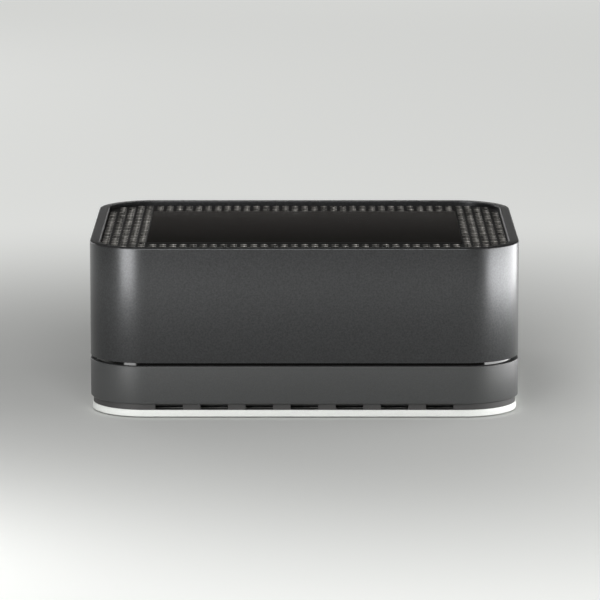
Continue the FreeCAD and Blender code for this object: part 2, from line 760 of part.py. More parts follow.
# Setup button with its collar behind the panel
collar_y1 = PANEL_Y0 - BUTTON_REST
collar_y0 = collar_y1 - BUTTON_COLLAR_T
button = rod(BUTTON_R, BUTTON_X, BUTTON_Z, collar_y0 + 0.2, PANEL_Y1 + BUTTON_PROUD)
a = BUTTON_COLLAR_W / 2.0
button = button.fuse(box(BUTTON_X - a, BUTTON_X + a, collar_y0, collar_y1, BUTTON_Z - a, BUTTON_Z + a))
a = BUTTON_TAIL_W / 2.0
button = button.fuse(box(BUTTON_X - a, BUTTON_X + a, collar_y0 - BUTTON_TAIL, collar_y0 + 0.2,
                         BUTTON_Z - a, BUTTON_Z + a))
save("setup_button", button.removeSplitter())

# Push switch on an upright block on the main board, just past the button's travel
switch_y1 = collar_y0 - BUTTON_TAIL - BUTTON_TRAVEL - SWITCH_GAP
a = SWITCH_W / 2.0
switch = box(BUTTON_X - a, BUTTON_X + a, switch_y1 - SWITCH_T, switch_y1, BUTTON_Z - a, BUTTON_Z + a)
stand = box(BUTTON_X - a, BUTTON_X + a, switch_y1 - SWITCH_T - SWITCH_POST_T, switch_y1 - SWITCH_T,
            BOARD_Z1, BUTTON_Z + a)
save("push_switch", switch.fuse(stand).removeSplitter())

# Wired network socket: stepped mouth for the plug and its latch, latch side up
a = LAN_W / 2.0
lan = box(LAN_X - a, LAN_X + a, SOCKET_Y1 - LAN_LEN, SOCKET_Y1, BOARD_Z1, BOARD_Z1 + LAN_H)
hole_z0 = BOARD_Z1 + LAN_FLOOR
hole_z1 = hole_z0 + LAN_HOLE_H
h = LAN_HOLE_W / 2.0
k = LAN_LATCH_W / 2.0
step = [(-h, hole_z0), (h, hole_z0), (h, hole_z1), (k, hole_z1), (k, hole_z1 + LAN_LATCH_H)]
step += [(-k, hole_z1 + LAN_LATCH_H), (-k, hole_z1), (-h, hole_z1)]
lan_back = SOCKET_Y1 - LAN_HOLE_LEN
points = [V(LAN_X + px, lan_back, pz) for px, pz in step]
lan = lan.cut(Part.Face(Part.makePolygon(points + [points[0]])).extrude(V(0, LAN_HOLE_LEN + 1, 0)))
save("network_socket", lan)
contacts = []
for i in range(CONTACTS):
    x = LAN_X + (i - (CONTACTS - 1) / 2.0) * CONTACT_PITCH
    contacts.append(box(x - CONTACT_W / 2, x + CONTACT_W / 2, lan_back, lan_back + CONTACT_LEN,
                        hole_z0 + 0.3, hole_z0 + 0.3 + CONTACT_T))
save("network_contacts", contacts)

# USB socket: folded shell and the tongue in it
a = USB_W / 2.0
usb_y0 = SOCKET_Y1 - USB_LEN
usb_top = BOARD_Z1 + USB_H
shell = box(USB_X - a, USB_X + a, usb_y0, SOCKET_Y1, BOARD_Z1, usb_top)
t = USB_WALL
shell = shell.cut(box(USB_X - a + t, USB_X + a - t, usb_y0 + t, SOCKET_Y1 + 1, BOARD_Z1 + t, usb_top - t))
save("usb_shell", shell)
g = 0.05
block = box(USB_X - a + t + g, USB_X + a - t - g, usb_y0 + t, usb_y0 + t + USB_BLOCK,
            BOARD_Z1 + t, usb_top - t - g)
w = USB_TONGUE_W / 2.0
tongue_top = usb_top - t - 0.9
tip = usb_y0 + t + USB_BLOCK + USB_TONGUE_LEN
tongue = box(USB_X - w, USB_X + w, usb_y0 + t + 1.0, tip, tongue_top - USB_TONGUE_T, tongue_top)
save("usb_tongue", block.fuse(tongue).removeSplitter())

# Optical socket: square mouth, closed by a door that swings in and up on two stubs
a = OPT_W / 2.0
o = OPT_HOLE / 2.0
opt_y0 = SOCKET_Y1 - OPT_LEN
opt_floor = BOARD_Z1 + OPT_FLOOR
opt_roof = opt_floor + OPT_HOLE
optical = box(OPT_X - a, OPT_X + a, opt_y0, SOCKET_Y1, BOARD_Z1, BOARD_Z1 + OPT_H)
optical = optical.cut(box(OPT_X - o, OPT_X + o, SOCKET_Y1 - OPT_HOLE_LEN, SOCKET_Y1 + 1, opt_floor, opt_roof))
PIVOT_Y = SOCKET_Y1 - DOOR_BACK - DOOR_BARREL_R
PIVOT_Z = opt_roof - DOOR_FIT - DOOR_BARREL_R


def cross_rod(r, half_len):
    """Round bar across the socket, on the door's pivot."""
    return Part.makeCylinder(r, 2 * half_len, V(OPT_X - half_len, PIVOT_Y, PIVOT_Z), V(1, 0, 0))


optical = optical.cut(cross_rod(DOOR_STUB_R + DOOR_STUB_FIT, o + DOOR_STUB_LEN + DOOR_STUB_FIT))
save("optical_socket", optical)
d = o - DOOR_FIT
door = box(OPT_X - d, OPT_X + d, PIVOT_Y + DOOR_BARREL_R - DOOR_T, PIVOT_Y + DOOR_BARREL_R,
           opt_floor + DOOR_FIT, PIVOT_Z)
barrel = prism(12, DOOR_BARREL_R, 0, 0, -d, d)
barrel.rotate(V(0, 0, 0), V(0, 1, 0), 90)
barrel.translate(V(OPT_X, PIVOT_Y, PIVOT_Z))
door = door.fuse(barrel)
door = door.fuse(cross_rod(DOOR_STUB_R, o + DOOR_STUB_LEN)).removeSplitter()
save("optical_door", door)

# Line input jack with its nose through the panel
a = JACK_W / 2.0
jack = box(JACK_X - a, JACK_X + a, PANEL_Y0 - JACK_LEN, PANEL_Y0, BOARD_Z1, BOARD_Z1 + JACK_H)
nose_y1 = PANEL_Y1 + JACK_NOSE
jack = jack.fuse(rod(JACK_NOSE_R, JACK_X, JACK_Z, PANEL_Y0 - 1, nose_y1))
jack = jack.cut(rod(JACK_BORE_R, JACK_X, JACK_Z, nose_y1 - JACK_BORE_LEN, nose_y1 + 1))
save("line_jack", jack.removeSplitter())

# Phono sockets: one moulded block, insulating cores, and plated sleeves that are
# necked behind the panel so that their shoulders bear on it
a = PHONO_BLOCK_W / 2.0
save("phono_block", box(PHONO_X - a, PHONO_X + a, PANEL_Y0 - PHONO_BLOCK_LEN, PANEL_Y0,
                        BOARD_Z1, BOARD_Z1 + PHONO_BLOCK_H))
sleeves = []
cores = []
sleeve_y1 = PANEL_Y1 + SLEEVE_LEN
core_r = SLEEVE_R - SLEEVE_WALL
for x in PHONO_XS:
    sleeve = rod(SLEEVE_R, x, PHONO_Z, PANEL_Y1, sleeve_y1)
    sleeve = sleeve.fuse(lying_prism(12, SLEEVE_R - SLEEVE_NECK, x, PHONO_Z, PANEL_Y0, PANEL_Y1 + 0.2))
    sleeve = sleeve.cut(lying_prism(12, core_r, x, PHONO_Z, PANEL_Y0 - 1, sleeve_y1 + 1))
    sleeves.append(sleeve.removeSplitter())
    core = lying_prism(12, core_r - 0.05, x, PHONO_Z, PANEL_Y0, sleeve_y1 - CORE_BACK)
    cores.append(core.cut(lying_prism(12, CORE_BORE_R, x, PHONO_Z, PANEL_Y0 - 1, sleeve_y1 + 1)))
save("phono_sleeves", sleeves)
save("phono_cores", cores)

# Where the moving pieces and the sockets lie, for the part's description
print("pivot", round(OPT_X, 3), round(PIVOT_Y, 3), round(PIVOT_Z, 3))
print("socket centres", [round(c, 3) for c in centres], "levels", INLET_Z, BUTTON_Z, JACK_Z, PHONO_Z)
print("pad", round(PAD_PLACES[0][0], 3), round(PAD_PLACES[0][1], 3), "top", round(TOP_Z, 3))
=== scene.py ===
import math

import bmesh
import bpy
from mathutils import Matrix, Vector


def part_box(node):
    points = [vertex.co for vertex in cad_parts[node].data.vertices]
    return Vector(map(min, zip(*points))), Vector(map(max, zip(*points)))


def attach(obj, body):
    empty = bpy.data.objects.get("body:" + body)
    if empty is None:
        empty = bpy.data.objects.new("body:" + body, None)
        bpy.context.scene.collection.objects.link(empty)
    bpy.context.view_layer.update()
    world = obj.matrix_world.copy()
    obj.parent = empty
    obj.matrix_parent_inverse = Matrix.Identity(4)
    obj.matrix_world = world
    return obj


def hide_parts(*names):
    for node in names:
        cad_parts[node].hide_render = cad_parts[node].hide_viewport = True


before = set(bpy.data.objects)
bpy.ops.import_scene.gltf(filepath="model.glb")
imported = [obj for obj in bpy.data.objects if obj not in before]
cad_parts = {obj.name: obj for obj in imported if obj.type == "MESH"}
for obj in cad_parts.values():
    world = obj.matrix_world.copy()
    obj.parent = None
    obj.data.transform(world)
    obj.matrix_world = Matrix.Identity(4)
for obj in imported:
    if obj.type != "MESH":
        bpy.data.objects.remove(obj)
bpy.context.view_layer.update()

MM = 0.001

# Base plate: the white tray under the whole case, moulded in ABS with a rolled lower edge.
# The rubber pads fill the four pockets in its underside, so the pockets aren't drawn.
CORNER_R = 29.0 * MM
CORNER_STEPS = 28
FLAT_STRIP = 0.5 * MM
BASE_ROLL = 0.3 * MM
BASE_EDGE = 0.25 * MM
base_low, base_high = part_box("base_plate")
case_low, case_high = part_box("lower_band")
base_inset = case_high.x - base_high.x
CORNER = Vector((case_high.x - CORNER_R, case_high.y - CORNER_R))
AXES = Matrix.Identity(3)
# Points closer than WELD are one point. A point closer than NEAR to a plane lies in it.
WELD = 1e-7
NEAR = 1e-6
# Plastics and glass bend light about this much, and a grain varies their roughness so far.
PLAIN_IOR = 1.5
GRAIN_GLOSS = 0.05


def linear(text):
    """The linear colour of an sRGB hex value."""
    channels = [int(text[i:i + 2], 16) / 255 for i in (1, 3, 5)]
    return [c / 12.92 if c <= 0.04045 else ((c + 0.055) / 1.055) ** 2.4 for c in channels] + [1.0]


def feed(tree, node, inputs):
    """Sets a node's sockets to values, or links them to other sockets."""
    for name, value in inputs.items():
        if isinstance(value, bpy.types.NodeSocket):
            tree.links.new(value, node.inputs[name])
        else:
            node.inputs[name].default_value = value
    return node


def add(tree, kind, inputs, **settings):
    """Adds a shader node with its settings and its sockets."""
    node = tree.nodes.new("ShaderNode" + kind)
    for name, value in settings.items():
        setattr(node, name, value)
    return feed(tree, node, inputs)


def finish_named(name):
    """A new material, its node tree and its shader."""
    material = bpy.data.materials.new(name)
    material.use_nodes = True
    return material, material.node_tree, material.node_tree.nodes["Principled BSDF"]


def grained(name, shade, light, grain, roughness, relief, level=0.5, flake=0.0):
    """Moulded plastic, rubber or paint, whose fine grain mottles its colour, its gloss and its
    surface. Flake is the share of metal in a lacquer."""
    material, tree, shader = finish_named(name)
    place = add(tree, "TexCoord", {}).outputs["Object"]
    noise = add(tree, "TexNoise", {"Vector": place, "Scale": 1 / grain, "Detail": 3.0, "Roughness": 0.65})
    speck = add(tree, "MapRange", {"Value": noise.outputs["Fac"], "From Min": 0.3, "From Max": 0.7})
    colour = add(tree, "MixRGB", {"Fac": speck.outputs["Result"], "Color1": linear(shade),
                                  "Color2": linear(light)})
    gloss = add(tree, "MapRange", {"Value": noise.outputs["Fac"], "To Min": roughness - GRAIN_GLOSS,
                                   "To Max": roughness + GRAIN_GLOSS})
    bump = add(tree, "Bump", {"Height": noise.outputs["Fac"], "Strength": 0.6, "Distance": relief})
    feed(tree, shader, {"Base Color": colour.outputs["Color"], "Roughness": gloss.outputs["Result"],
                        "Normal": bump.outputs["Normal"], "IOR": PLAIN_IOR, "Specular IOR Level": level,
                        "Metallic": flake})
    return material


def corner_loop(bm, half_x, half_y, radius, z, steps):
    """Closed loop of edges at one height: a flat square with its corners bevelled round."""
    start = bmesh.ops.create_grid(bm, x_segments=1, y_segments=1, size=1.0)["verts"]
    bmesh.ops.scale(bm, vec=(half_x, half_y, 1.0), verts=start)
    bmesh.ops.translate(bm, vec=(0.0, 0.0, z), verts=start)
    rounded = bmesh.ops.bevel(bm, geom=start, offset=radius, offset_type="OFFSET", segments=steps,
                              profile=0.5, affect="VERTICES", material=-1)
    face = rounded["verts"][0].link_faces[0]
    edges = list(face.edges)
    bmesh.ops.delete(bm, geom=[face], context="FACES_ONLY")
    return edges


def drawn_on(bm, edges, shift=(0.0, 0.0, 0.0), arms=None):
    """Extrudes a loop of edges, moves it, and scales its arcs about the case's corner centres."""
    made = bmesh.ops.extrude_edge_only(bm, edges=edges)["geom"]
    verts = [item for item in made if isinstance(item, bmesh.types.BMVert)]
    if arms is not None:
        for vert in verts:
            centre = Vector((math.copysign(CORNER.x, vert.co.x), math.copysign(CORNER.y, vert.co.y)))
            vert.co.xy = centre + (vert.co.xy - centre) * arms
    bmesh.ops.translate(bm, vec=shift, verts=verts)
    return [item for item in made if isinstance(item, bmesh.types.BMEdge)]


def swept(bm, profile):
    """Draws a profile of (inset, height) points round the case outline, and returns its loops."""
    inset, z = profile[0]
    loops = [corner_loop(bm, case_high.x - inset, case_high.y - inset, CORNER_R - inset, z, CORNER_STEPS)]
    for next_inset, next_z in profile[1:]:
        arms = (CORNER_R - next_inset) / (CORNER_R - inset)
        loops.append(drawn_on(bm, loops[-1], (0.0, 0.0, next_z - z), arms))
        inset, z = next_inset, next_z
    return loops


def rolled(bm, edges, radius, segments=3):
    """Rounds edges off by a small radius."""
    bmesh.ops.bevel(bm, geom=edges, offset=radius, offset_type="OFFSET", segments=segments, profile=0.5,
                    affect="EDGES", clamp_overlap=True, material=-1)


def held_flat(bm):
    """Cuts a narrow strip beside each rounded corner, so that the long sides shade as flat."""
    for axis, reach in ((0, CORNER.x - FLAT_STRIP), (1, CORNER.y - FLAT_STRIP)):
        for side in (-1, 1):
            bmesh.ops.bisect_plane(bm, geom=bm.verts[:] + bm.edges[:] + bm.faces[:], dist=WELD,
                                   plane_co=AXES[axis] * side * reach, plane_no=AXES[axis] * side)


def made_object(bm, name, material, crease=32.0):
    """The finished mesh as an object at the origin, smooth up to the crease angle."""
    bmesh.ops.remove_doubles(bm, verts=bm.verts, dist=WELD)
    bmesh.ops.recalc_face_normals(bm, faces=bm.faces)
    mesh = bpy.data.meshes.new(name)
    bm.to_mesh(mesh)
    bm.free()
    mesh.shade_smooth()
    mesh.set_sharp_from_angle(angle=math.radians(crease))
    mesh.materials.append(material)
    piece = bpy.data.objects.new(name, mesh)
    bpy.context.scene.collection.objects.link(piece)
    return piece


# White ABS with a fine matt grain: bright and even, with a soft sheen along the roll.
white_abs = grained("white_abs_matt", shade="#E2E4E0", light="#EDEFEC", grain=0.35 * MM,
                    roughness=0.45, relief=0.01 * MM)
bm = bmesh.new()
loops = swept(bm, [(base_inset, base_low.z), (base_inset, base_high.z)])
for loop in loops:
    bmesh.ops.edgeloop_fill(bm, edges=loop)
rolled(bm, loops[0], BASE_ROLL, segments=5)
upper_edges = [e for e in bm.edges if all(abs(v.co.z - base_high.z) < NEAR for v in e.verts)]
rolled(bm, upper_edges, BASE_EDGE, segments=2)
held_flat(bm)
base = made_object(bm, "base_moulding", white_abs)
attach(base, "case")
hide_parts("base_plate")

# Shade liner: a thin sheet of black polyester film, cut to the case's outline and laid on the inside of
# the base, under the chassis. Its black is painted shade: it keeps the base as dark as the shaded inside of
# the case when one looks down through the grille.
SHEET_INSET = 8.0 * MM
SHEET_T = 0.25 * MM
# Black polyester film, painted shade for the inside of the case: smooth, half dull, barely mottled.
shade_film = grained("polyester_film_painted_shade", shade="#161616", light="#1B1B1B", grain=3.0 * MM,
                     roughness=0.4, relief=0.005 * MM)
bm = bmesh.new()
loops = swept(bm, [(SHEET_INSET, base_high.z), (SHEET_INSET, base_high.z + SHEET_T)])
for loop in loops:
    bmesh.ops.edgeloop_fill(bm, edges=loop)
shade_sheet = made_object(bm, "shade_liner_sheet", shade_film)
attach(shade_sheet, "case")

# Rubber pads: four low pads of black rubber, pressed into the pockets of the base, with
# rounded corners and a softened rim.
PAD_HALF = Vector((12.0, 5.0)) * MM
PAD_ROUND = 2.0 * MM
PAD_STEPS = 6
PAD_ROLL = 0.35 * MM
pad_low, pad_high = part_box("rubber_pads")
# Moulded rubber: a dull near-black, a shade lighter where it is worn.
pad_rubber = grained("moulded_rubber", shade="#1E1E1E", light="#2A2A2A", grain=0.5 * MM,
                     roughness=0.8, relief=0.03 * MM)
bm = bmesh.new()
for side_x in (-1, 1):
    for side_y in (-1, 1):
        lower = corner_loop(bm, PAD_HALF.x, PAD_HALF.y, PAD_ROUND, pad_low.z, PAD_STEPS)
        upper = drawn_on(bm, lower, (0.0, 0.0, pad_high.z - pad_low.z))
        caps = bmesh.ops.edgeloop_fill(bm, edges=lower)["faces"]
        caps += bmesh.ops.edgeloop_fill(bm, edges=upper)["faces"]
        place = (side_x * (pad_high.x - PAD_HALF.x), side_y * (pad_high.y - PAD_HALF.y), 0.0)
        bmesh.ops.translate(bm, vec=place, verts=list({v for face in caps for v in face.verts}))
        rolled(bm, lower, PAD_ROLL)
pads = made_object(bm, "base_pads", pad_rubber)
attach(pads, "case")
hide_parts("rubber_pads")

# Case screws: four of zinc-plated steel, driven up from the pad pockets into the housing's
# posts. The small screws of the main board are plated in the same way.
METAL_GLOSS = 0.08


def dressed(node, material):
    """Gives a piece that keeps its construction mesh its real finish."""
    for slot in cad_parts[node].material_slots:
        slot.material = material


def streaked_metal(name, colour, shade, streak, roughness):
    """Plated or bare metal: fine streaks of slightly different gloss and colour."""
    material, tree, shader = finish_named(name)
    place = add(tree, "TexCoord", {}).outputs["Object"]
    noise = add(tree, "TexNoise", {"Vector": place, "Scale": 1 / streak, "Detail": 4.0})
    tone = add(tree, "MixRGB", {"Fac": noise.outputs["Fac"], "Color1": linear(shade),
                                "Color2": linear(colour)})
    gloss = add(tree, "MapRange", {"Value": noise.outputs["Fac"], "To Min": roughness - METAL_GLOSS,
                                   "To Max": roughness + METAL_GLOSS})
    feed(tree, shader, {"Base Color": tone.outputs["Color"], "Roughness": gloss.outputs["Result"],
                        "Metallic": 1.0})
    return material


# Zinc plating: bluish grey, half dull, with cloudy patches.
zinc_plate = streaked_metal("zinc_plated_steel", colour="#C2C6CA", shade="#A2A6AC",
                            streak=1.2 * MM, roughness=0.35)
dressed("case_screws", zinc_plate)
dressed("board_screws", zinc_plate)

# Vent skirt: a dark moulded ring between the base and the lower band. Its air slots have
# roofs that fall inwards, so that nothing inside shows.
SKIRT_INSET = 1.3 * MM
SKIRT_WALL = 3.9 * MM
SLOT_HALF = 7.0 * MM
SLOT_PITCH = 23.0 * MM
SLOTS_FRONT = 7
SLOTS_SIDE = 5
SLOT_SILL = 0.3 * MM
SLOT_TOP = 2.95 * MM
SLOT_THROAT = 1.3 * MM
skirt_low, skirt_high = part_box("vent_skirt")
# Satin ABS, a little browner and duller than the band above it.
skirt_abs = grained("dark_abs_skirt", shade="#3A3939", light="#434242", grain=0.4 * MM,
                    roughness=0.5, relief=0.02 * MM)


def cut_flat(bm, faces, point, normal):
    """Cuts only the given faces along a plane, and returns the faces on both sides of it."""
    edges = {e for face in faces for e in face.edges}
    verts = {v for face in faces for v in face.verts}
    made = bmesh.ops.bisect_plane(bm, geom=list(faces) + list(edges) + list(verts), dist=WELD,
                                  plane_co=point, plane_no=normal)
    return [item for item in made["geom"] if isinstance(item, bmesh.types.BMFace)]


def wall_faces(bm, axis, reach):
    """Faces that lie flat in one upright plane of the case."""
    return [f for f in bm.faces if all(abs(v.co[axis] - reach) < NEAR for v in f.verts)]


def slot_mouth(bm, axis, reach, middle, top):
    """Cuts one mouth of an air slot out of a flat wall, and returns the edges round it."""
    along = 1 - axis
    for end in (middle - SLOT_HALF, middle + SLOT_HALF):
        cut_flat(bm, wall_faces(bm, axis, reach), AXES[along] * end, AXES[along])
    near = [f for f in wall_faces(bm, axis, reach)
            if abs(f.calc_center_median()[along] - middle) < SLOT_HALF]
    sill = skirt_low.z + SLOT_SILL
    for level in (sill, top):
        near = cut_flat(bm, near, AXES[2] * level, AXES[2])
    patch = [f for f in near if sill < f.calc_center_median().z < top]
    edges = list(patch[0].edges)
    bmesh.ops.delete(bm, geom=patch, context="FACES_ONLY")
    return edges


bm = bmesh.new()
skirt_inner = SKIRT_INSET + SKIRT_WALL
loops = swept(bm, [(SKIRT_INSET, skirt_low.z), (SKIRT_INSET, skirt_high.z),
                   (skirt_inner, skirt_high.z), (skirt_inner, skirt_low.z)])
bmesh.ops.bridge_loops(bm, edges=loops[-1] + loops[0])
held_flat(bm)
for axis, half, count in ((1, case_high.y, SLOTS_FRONT), (0, case_high.x, SLOTS_SIDE)):
    for side in (-1, 1):
        for i in range(count):
            middle = (i - (count - 1) / 2) * SLOT_PITCH
            outer = slot_mouth(bm, axis, side * (half - SKIRT_INSET), middle, skirt_low.z + SLOT_TOP)
            inner = slot_mouth(bm, axis, side * (half - skirt_inner), middle, skirt_low.z + SLOT_THROAT)
            bmesh.ops.bridge_loops(bm, edges=outer + inner)
skirt = made_object(bm, "skirt_moulding", skirt_abs)
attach(skirt, "case")
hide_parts("vent_skirt")

# Lower band: the dark satin ring below the shadow gap, moulded in one piece with a chamfer
# under it and a fine radius at the gap.
BAND_WALL = 2.5 * MM
BAND_CHAMFER = 0.5 * MM
BAND_TURN = 0.2 * MM
BAND_EDGE = 0.35 * MM
# Satin ABS: dark grey, a shade lighter than the skirt, with the same fine grain.
band_abs = grained("dark_abs_band", shade="#3A3B3B", light="#474848", grain=0.4 * MM,
                   roughness=0.45, relief=0.02 * MM)
bm = bmesh.new()
loops = swept(bm, [(BAND_CHAMFER, case_low.z), (0.0, case_low.z + BAND_CHAMFER), (0.0, case_high.z),
                   (BAND_WALL, case_high.z), (BAND_WALL, case_low.z)])
bmesh.ops.bridge_loops(bm, edges=loops[-1] + loops[0])
rolled(bm, loops[1], BAND_TURN, segments=2)
rolled(bm, loops[2], BAND_EDGE)
held_flat(bm)
band = made_object(bm, "band_moulding", band_abs)
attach(band, "case")
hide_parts("lower_band")

# Trim ring: a polished black sleeve inside the shadow gap, which joins the band to the
# housing. Its face leans back a little, and catches the lamps at the corners.
TRIM_WALL = 2.4 * MM
TRIM_LEAN = 0.45 * MM
GAP_H = 1.7 * MM
trim_low, trim_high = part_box("trim_ring")
trim_inset = case_high.x - trim_high.x
gap_top = case_high.z + GAP_H
# Polished black ABS: almost no colour of its own, with mirror-like streaks of light.
gloss_abs = grained("polished_black_abs", shade="#0A0A0A", light="#0C0C0C", grain=2.0 * MM,
                    roughness=0.1, relief=0.002 * MM)
bm = bmesh.new()
loops = swept(bm, [(trim_inset, trim_low.z), (trim_inset, case_high.z), (trim_inset + TRIM_LEAN, gap_top),
                   (trim_inset + TRIM_LEAN, trim_high.z), (trim_inset + TRIM_WALL, trim_high.z),
                   (trim_inset + TRIM_WALL, trim_low.z)])
bmesh.ops.bridge_loops(bm, edges=loops[-1] + loops[0])
held_flat(bm)
trim = made_object(bm, "gap_sleeve", gloss_abs)
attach(trim, "case")
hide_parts("trim_ring")

# Chassis: a folded deck of galvanised sheet that the posts clamp onto the base. Where it shows
# through the grille, it is pale grey and half dull, clouded by the spangle of its zinc.
galvanised = streaked_metal("galvanised_steel", colour="#B9BCBE", shade="#8F9396",
                            streak=6.0 * MM, roughness=0.42)
dressed("chassis", galvanised)

# Boards: glass-fibre laminate, which holds the processor, the radio and the sockets on brass
# spacers, and the power parts on nylon clips. The sensor board is bonded under the glass.
WEAVE_PITCH = 2.3675 * MM
TRACK_CELL = 9.0 * MM
# The wave texture at scale 1 has twenty waves in tau units.
WAVE_UNIT = math.tau / 20
# Green laminate: solder mask with paler tracks, half bright over the ribs of the glass cloth.
# The ribs are drawn coarser than they are, so that they show.
green_laminate, tree, shader = finish_named("glass_fibre_laminate")
place = add(tree, "TexCoord", {}).outputs["Object"]
weave = add(tree, "TexWave", {"Vector": place, "Scale": WAVE_UNIT / WEAVE_PITCH, "Distortion": 0.5})
tracks = add(tree, "TexBrick", {"Vector": place, "Scale": 1 / TRACK_CELL, "Mortar Size": 0.03,
                                "Color1": linear("#12502E"), "Color2": linear("#0F4628"),
                                "Mortar": linear("#2C7A4B")})
bump = add(tree, "Bump", {"Height": weave.outputs["Fac"], "Strength": 0.2, "Distance": 0.03 * MM})
feed(tree, shader, {"Base Color": tracks.outputs["Color"], "Roughness": 0.35,
                    "Normal": bump.outputs["Normal"]})
for node in ("main_board", "power_board", "sensor_board", "aerial_strips"):
    dressed(node, green_laminate)
# Turned brass: warm and half bright.
brass = streaked_metal("turned_brass", colour="#C9A55C", shade="#A8843F", streak=1.0 * MM, roughness=0.3)
dressed("board_spacers", brass)
# Natural nylon: creamy, with a soft sheen.
natural_nylon = grained("natural_nylon", shade="#D8D5C6", light="#E2DFD2", grain=0.6 * MM,
                        roughness=0.45, relief=0.01 * MM)
for node in ("board_clips", "ribbon_plug", "usb_tongue"):
    dressed(node, natural_nylon)

# Parts on the boards: the processor under its finned heat sink, the shielded radio, the
# transformer with its taped winding, two smoothing capacitors, and a flat ribbon from the
# sensor board. The processor is moulded epoxy, flat charcoal with a fine dull grain.
epoxy = grained("epoxy_chip", shade="#1C1C1D", light="#232324", grain=0.3 * MM,
                roughness=0.6, relief=0.01 * MM)
dressed("processor", epoxy)
# Black anodised aluminium: dark and metallic, with a satin glint along the fins.
anodised = streaked_metal("black_anodised_aluminium", colour="#2B2C2E", shade="#222325",
                          streak=0.8 * MM, roughness=0.45)
dressed("heat_sink", anodised)
# Tinned steel can: warm and bright, slightly clouded.
tinned = streaked_metal("tinned_can", colour="#C9C9C4", shade="#B2B2AD", streak=2.0 * MM, roughness=0.28)
dressed("radio_module", tinned)
# Sintered ferrite: dark grey and stony.
ferrite = grained("sintered_ferrite", shade="#39393B", light="#47474A", grain=0.7 * MM,
                  roughness=0.65, relief=0.03 * MM)
dressed("transformer_core", ferrite)
# Polyester tape: amber yellow with a soft shine.
winding_tape = grained("polyester_tape", shade="#C89A1E", light="#D8A928", grain=2.5 * MM,
                       roughness=0.35, relief=0.02 * MM)
dressed("transformer_coil", winding_tape)
# Shrunk film sleeve: blue-black and glossy.
can_sleeve = grained("shrink_sleeve", shade="#14181F", light="#1B2029", grain=1.5 * MM,
                     roughness=0.3, relief=0.01 * MM)
dressed("capacitors", can_sleeve)
# Polyimide film: a deep amber brown that shines.
polyimide = grained("polyimide_film", shade="#8A4A14", light="#9A5518", grain=2.0 * MM,
                    roughness=0.25, relief=0.005 * MM)
dressed("sensor_ribbon", polyimide)

# Bay frame and rear panel: a moulded surround let into the back wall, and the flat plate at
# its bottom that the sockets stand in.
panel_low, panel_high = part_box("rear_panel")
# Black ABS: near-black and matt, with a fine grain.
panel_abs = grained("black_abs_panel", shade="#1B1B1C", light="#232324", grain=0.4 * MM,
                    roughness=0.5, relief=0.03 * MM)
dressed("bay_frame", panel_abs)
dressed("rear_panel", panel_abs)

# Sockets: bodies moulded in glass-filled polyester, blacker and smoother than the panel, with
# plated contacts. They stand on the main board and show through the panel's cut-outs.
socket_pbt = grained("glass_filled_polyester", shade="#151516", light="#1C1C1D", grain=0.3 * MM,
                     roughness=0.45, relief=0.01 * MM)
for node in ("push_switch", "network_socket", "optical_socket", "line_jack", "phono_block"):
    dressed(node, socket_pbt)
# Nickel plating: warm silver, bright.
nickel = streaked_metal("nickel_plate", colour="#CFCBC2", shade="#BDB8AE", streak=0.8 * MM, roughness=0.22)
dressed("usb_shell", nickel)
# Gold plating: bright, and a little pale because it is thin.
gold = streaked_metal("gold_plate", colour="#DDB45A", shade="#C99D45", streak=0.8 * MM, roughness=0.2)
dressed("network_contacts", gold)

# Setup button and optical door: the two parts that move, both moulded in smooth dark ABS with
# a soft sheen. The button slides in the panel, and the sprung door swings in its socket.
button_abs = grained("dark_abs_button", shade="#3A3A3B", light="#444445", grain=0.3 * MM,
                     roughness=0.4, relief=0.01 * MM)
for node in ("setup_button", "optical_door"):
    dressed(node, button_abs)

# Phono sockets: turned sleeves with a thin washer against the panel. Each holds a nylon core,
# natural on the left channel and red on the right, round a plated contact.
TURN_STEPS = 36
SLEEVE_R = 4.15 * MM
SLEEVE_BORE = 3.6 * MM
SLEEVE_NECK = 0.3 * MM
SLEEVE_EDGE = 0.15 * MM
WASHER_R = 5.2 * MM
WASHER_T = 0.5 * MM
CORE_R = 3.55 * MM
CORE_BORE = 1.6 * MM
CORE_EASE = 0.3 * MM
CORE_BACK = 1.0 * MM
CONTACT_R = 1.4 * MM
sleeve_low, sleeve_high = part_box("phono_sleeves")
sleeve_z = (sleeve_low.z + sleeve_high.z) / 2
sleeve_root = sleeve_low.y
sleeve_end = sleeve_high.y
neck_r = SLEEVE_R - SLEEVE_NECK
washer_face = panel_high.y + WASHER_T
core_end = sleeve_end - CORE_BACK
contact_end = core_end - CORE_BACK
# Dyed nylon: a clear, warm red with the same soft sheen as the natural one.
red_nylon = grained("red_dyed_nylon", shade="#A5221C", light="#B42A22", grain=0.6 * MM,
                    roughness=0.4, relief=0.01 * MM)


def turned(bm, profile, x, z):
    """Turns a closed profile of (radius, y) points about an axis along Y."""
    verts = [bm.verts.new((x + radius, y, z)) for radius, y in profile]
    edges = [bm.edges.new(pair) for pair in zip(verts, verts[1:] + verts[:1])]
    bmesh.ops.spin(bm, geom=verts + edges, cent=(x, 0.0, z), axis=(0.0, 1.0, 0.0), angle=math.tau,
                   steps=TURN_STEPS, use_merge=True)


